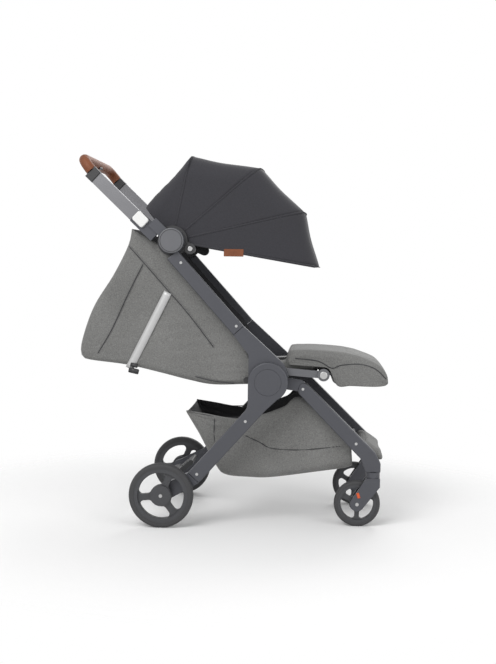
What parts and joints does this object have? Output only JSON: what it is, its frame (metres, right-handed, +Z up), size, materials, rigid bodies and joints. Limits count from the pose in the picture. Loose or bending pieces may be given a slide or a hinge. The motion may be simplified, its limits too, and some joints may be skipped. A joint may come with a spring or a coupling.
{
  "type": "compact folding stroller",
  "caption": "Compact folding stroller with a reclined fabric seat, fan canopy, telescoping handle, basket, swivel front wheels and folding legs.",
  "frame": {"origin": "on the ground under the middle of the stroller, at the bottom centre of its bounding box", "axes": "+X forwards in the direction of travel, +Y to the stroller's left, +Z up"},
  "size_m": [0.8899, 0.494, 1.0534],
  "materials": {
    "frame_coat": "satin",
    "silver": "anodised",
    "steel": "plated",
    "black_plastic": "matte",
    "grey_plastic": "matte",
    "white_plastic": "smooth",
    "rubber": "matte",
    "wheel_plastic": "moulded",
    "leather": "stitched",
    "grey_fabric": "melange",
    "black_fabric": "woven",
    "dark_fabric": "woven"
  },
  "bodies": {
    "rear_frame": {"rear_legs": "frame_coat", "hub_caps": "frame_coat", "axle_housings": "frame_coat", "rear_axle": "steel", "rear_leg_rivets": "steel", "hub_pins": "steel", "basket": "grey_fabric"},
    "front_frame": {"front_legs": "frame_coat", "caster_sockets": "frame_coat", "foot_panel": "grey_fabric", "front_cross_tube": "black_plastic", "front_leg_rivets": "steel"},
    "upper_frame": {"side_tubes": "frame_coat", "hub_casings": "frame_coat", "seat_rails": "grey_plastic", "side_tube_rivets": "steel", "recline_tube": "black_plastic", "legrest_tube": "black_plastic", "canopy_mounts": "black_plastic", "canopy_studs": "steel", "seat_board": "black_plastic", "seat_cushion": "grey_fabric", "harness_buckle": "black_plastic", "seat_shell": "grey_fabric", "canopy_bow_1": "black_plastic", "canopy_flap": "black_fabric", "canopy_panel_1": "black_fabric"},
    "backrest": {"backrest_board": "black_plastic", "backrest_pad": "grey_fabric", "recline_buckle": "black_plastic"},
    "legrest": {"legrest_board": "black_plastic", "legrest_cushion": "grey_fabric"},
    "legrest_button_right": {"legrest_button_right": "steel"},
    "legrest_button_left": {"legrest_button_left": "steel"},
    "canopy_second_bow": {"canopy_bow_2": "black_plastic", "canopy_panel_2": "black_fabric"},
    "canopy_third_bow": {"canopy_bow_3": "black_plastic", "canopy_panel_3": "black_fabric"},
    "canopy_front_bow": {"canopy_bow_4": "black_plastic"},
    "handle": {"handle_sections": "frame_coat", "hinge_caps": "grey_plastic"},
    "handle_bar": {"handle_sliders": "silver", "handle_connectors": "black_plastic", "handle_grip": "leather"},
    "fold_button": {"fold_button": "black_plastic"},
    "lock_lever_right": {"lock_lever_right": "white_plastic"},
    "lock_lever_left": {"lock_lever_left": "white_plastic"},
    "brake_pedal": {"brake_pedal": "black_plastic"},
    "caster_right": {"caster_fork_right": "frame_coat", "front_axle_right": "steel"},
    "front_wheel_right": {"front_wheel_right": "wheel_plastic", "front_tyre_right": "rubber"},
    "rear_wheel_right": {"rear_wheel_right": "wheel_plastic", "rear_tyre_right": "rubber"},
    "caster_left": {"caster_fork_left": "frame_coat", "front_axle_left": "steel"},
    "front_wheel_left": {"front_wheel_left": "wheel_plastic", "front_tyre_left": "rubber"},
    "rear_wheel_left": {"rear_wheel_left": "wheel_plastic", "rear_tyre_left": "rubber"}
  },
  "joints": [
    {"name": "frame_fold", "type": "hinge", "parent": "rear_frame", "child": "upper_frame", "pos_m": [0.106, 0, 0.415], "axis": [0, -1, 0], "range_deg": [0, 40]},
    {"name": "front_leg_fold", "type": "hinge", "parent": "rear_frame", "child": "front_frame", "pos_m": [0.106, 0, 0.415], "axis": [0, 1, 0], "range_deg": [0, 56], "deforming": ["basket"]},
    {"name": "handle_fold", "type": "hinge", "parent": "upper_frame", "child": "handle", "pos_m": [-0.172, 0, 0.809], "axis": [0, 1, 0], "range_deg": [0, 80]},
    {"name": "handle_telescope", "type": "slide", "parent": "handle", "child": "handle_bar", "axis": [0.7242, 0, -0.6896], "range_m": [0, 0.055]},
    {"name": "fold_button_press", "type": "slide", "parent": "handle_bar", "child": "fold_button", "axis": [-0.766, 0, 0.6428], "range_m": [0, 0.003], "stiffness_N_per_m": 600},
    {"name": "lock_lever_right", "type": "hinge", "parent": "handle", "child": "lock_lever_right", "pos_m": [-0.27421, -0.2024, 0.88148], "axis": [-0.6896, 0, -0.7242], "range_deg": [0, 50]},
    {"name": "legrest_button_right", "type": "slide", "parent": "upper_frame", "child": "legrest_button_right", "axis": [0, 1, 0], "range_m": [0, 0.003], "stiffness_N_per_m": 400},
    {"name": "lock_lever_left", "type": "hinge", "parent": "handle", "child": "lock_lever_left", "pos_m": [-0.27421, 0.2024, 0.88148], "axis": [0.6896, 0, 0.7242], "range_deg": [0, 50]},
    {"name": "legrest_button_left", "type": "slide", "parent": "upper_frame", "child": "legrest_button_left", "axis": [0, -1, 0], "range_m": [0, 0.003], "stiffness_N_per_m": 400},
    {"name": "backrest_recline", "type": "hinge", "parent": "upper_frame", "child": "backrest", "pos_m": [0.044, 0, 0.417], "axis": [0, 1, 0], "range_deg": [0, 50], "deforming": ["seat_shell"]},
    {"name": "legrest_tilt", "type": "hinge", "parent": "upper_frame", "child": "legrest", "pos_m": [0.262, 0, 0.436], "axis": [0, 1, 0], "range_deg": [0, 65]},
    {"name": "canopy_fold", "type": "hinge", "parent": "upper_frame", "child": "canopy_second_bow", "pos_m": [-0.172, 0, 0.809], "axis": [0, 1, 0], "range_deg": [-32, 0], "deforming": ["canopy_panel_1"]},
    {"name": "canopy_mid_fold", "type": "hinge", "parent": "canopy_second_bow", "child": "canopy_third_bow", "pos_m": [-0.172, 0, 0.809], "axis": [0, 1, 0], "range_deg": [-21, 0], "deforming": ["canopy_panel_2"]},
    {"name": "canopy_front_fold", "type": "hinge", "parent": "canopy_third_bow", "child": "canopy_front_bow", "pos_m": [-0.172, 0, 0.809], "axis": [0, 1, 0], "range_deg": [-16.2, 0], "deforming": ["canopy_panel_3"]},
    {"name": "brake_press", "type": "hinge", "parent": "rear_frame", "child": "brake_pedal", "pos_m": [-0.19, 0, 0.0915], "axis": [0, 1, 0], "range_deg": [0, 15]},
    {"name": "caster_swivel_right", "type": "hinge", "parent": "front_frame", "child": "caster_right", "pos_m": [0.408, -0.147, 0.1], "axis": [0, 0, 1], "continuous": true},
    {"name": "front_wheel_spin_right", "type": "hinge", "parent": "caster_right", "child": "front_wheel_right", "pos_m": [0.364, -0.147, 0.066], "axis": [0, 1, 0], "continuous": true},
    {"name": "rear_wheel_spin_right", "type": "hinge", "parent": "rear_frame", "child": "rear_wheel_right", "pos_m": [-0.19, -0.2335, 0.0915], "axis": [0, 1, 0], "continuous": true},
    {"name": "caster_swivel_left", "type": "hinge", "parent": "front_frame", "child": "caster_left", "pos_m": [0.408, 0.147, 0.1], "axis": [0, 0, 1], "continuous": true},
    {"name": "front_wheel_spin_left", "type": "hinge", "parent": "caster_left", "child": "front_wheel_left", "pos_m": [0.364, 0.147, 0.066], "axis": [0, 1, 0], "continuous": true},
    {"name": "rear_wheel_spin_left", "type": "hinge", "parent": "rear_frame", "child": "rear_wheel_left", "pos_m": [-0.19, 0.2335, 0.0915], "axis": [0, 1, 0], "continuous": true}
  ],
  "couplings": [
    {"joint": "front_leg_fold", "follows": "frame_fold", "ratio": 1.4},
    {"joint": "canopy_mid_fold", "follows": "canopy_fold", "ratio": 0.65},
    {"joint": "canopy_front_fold", "follows": "canopy_fold", "ratio": 0.5}
  ]
}
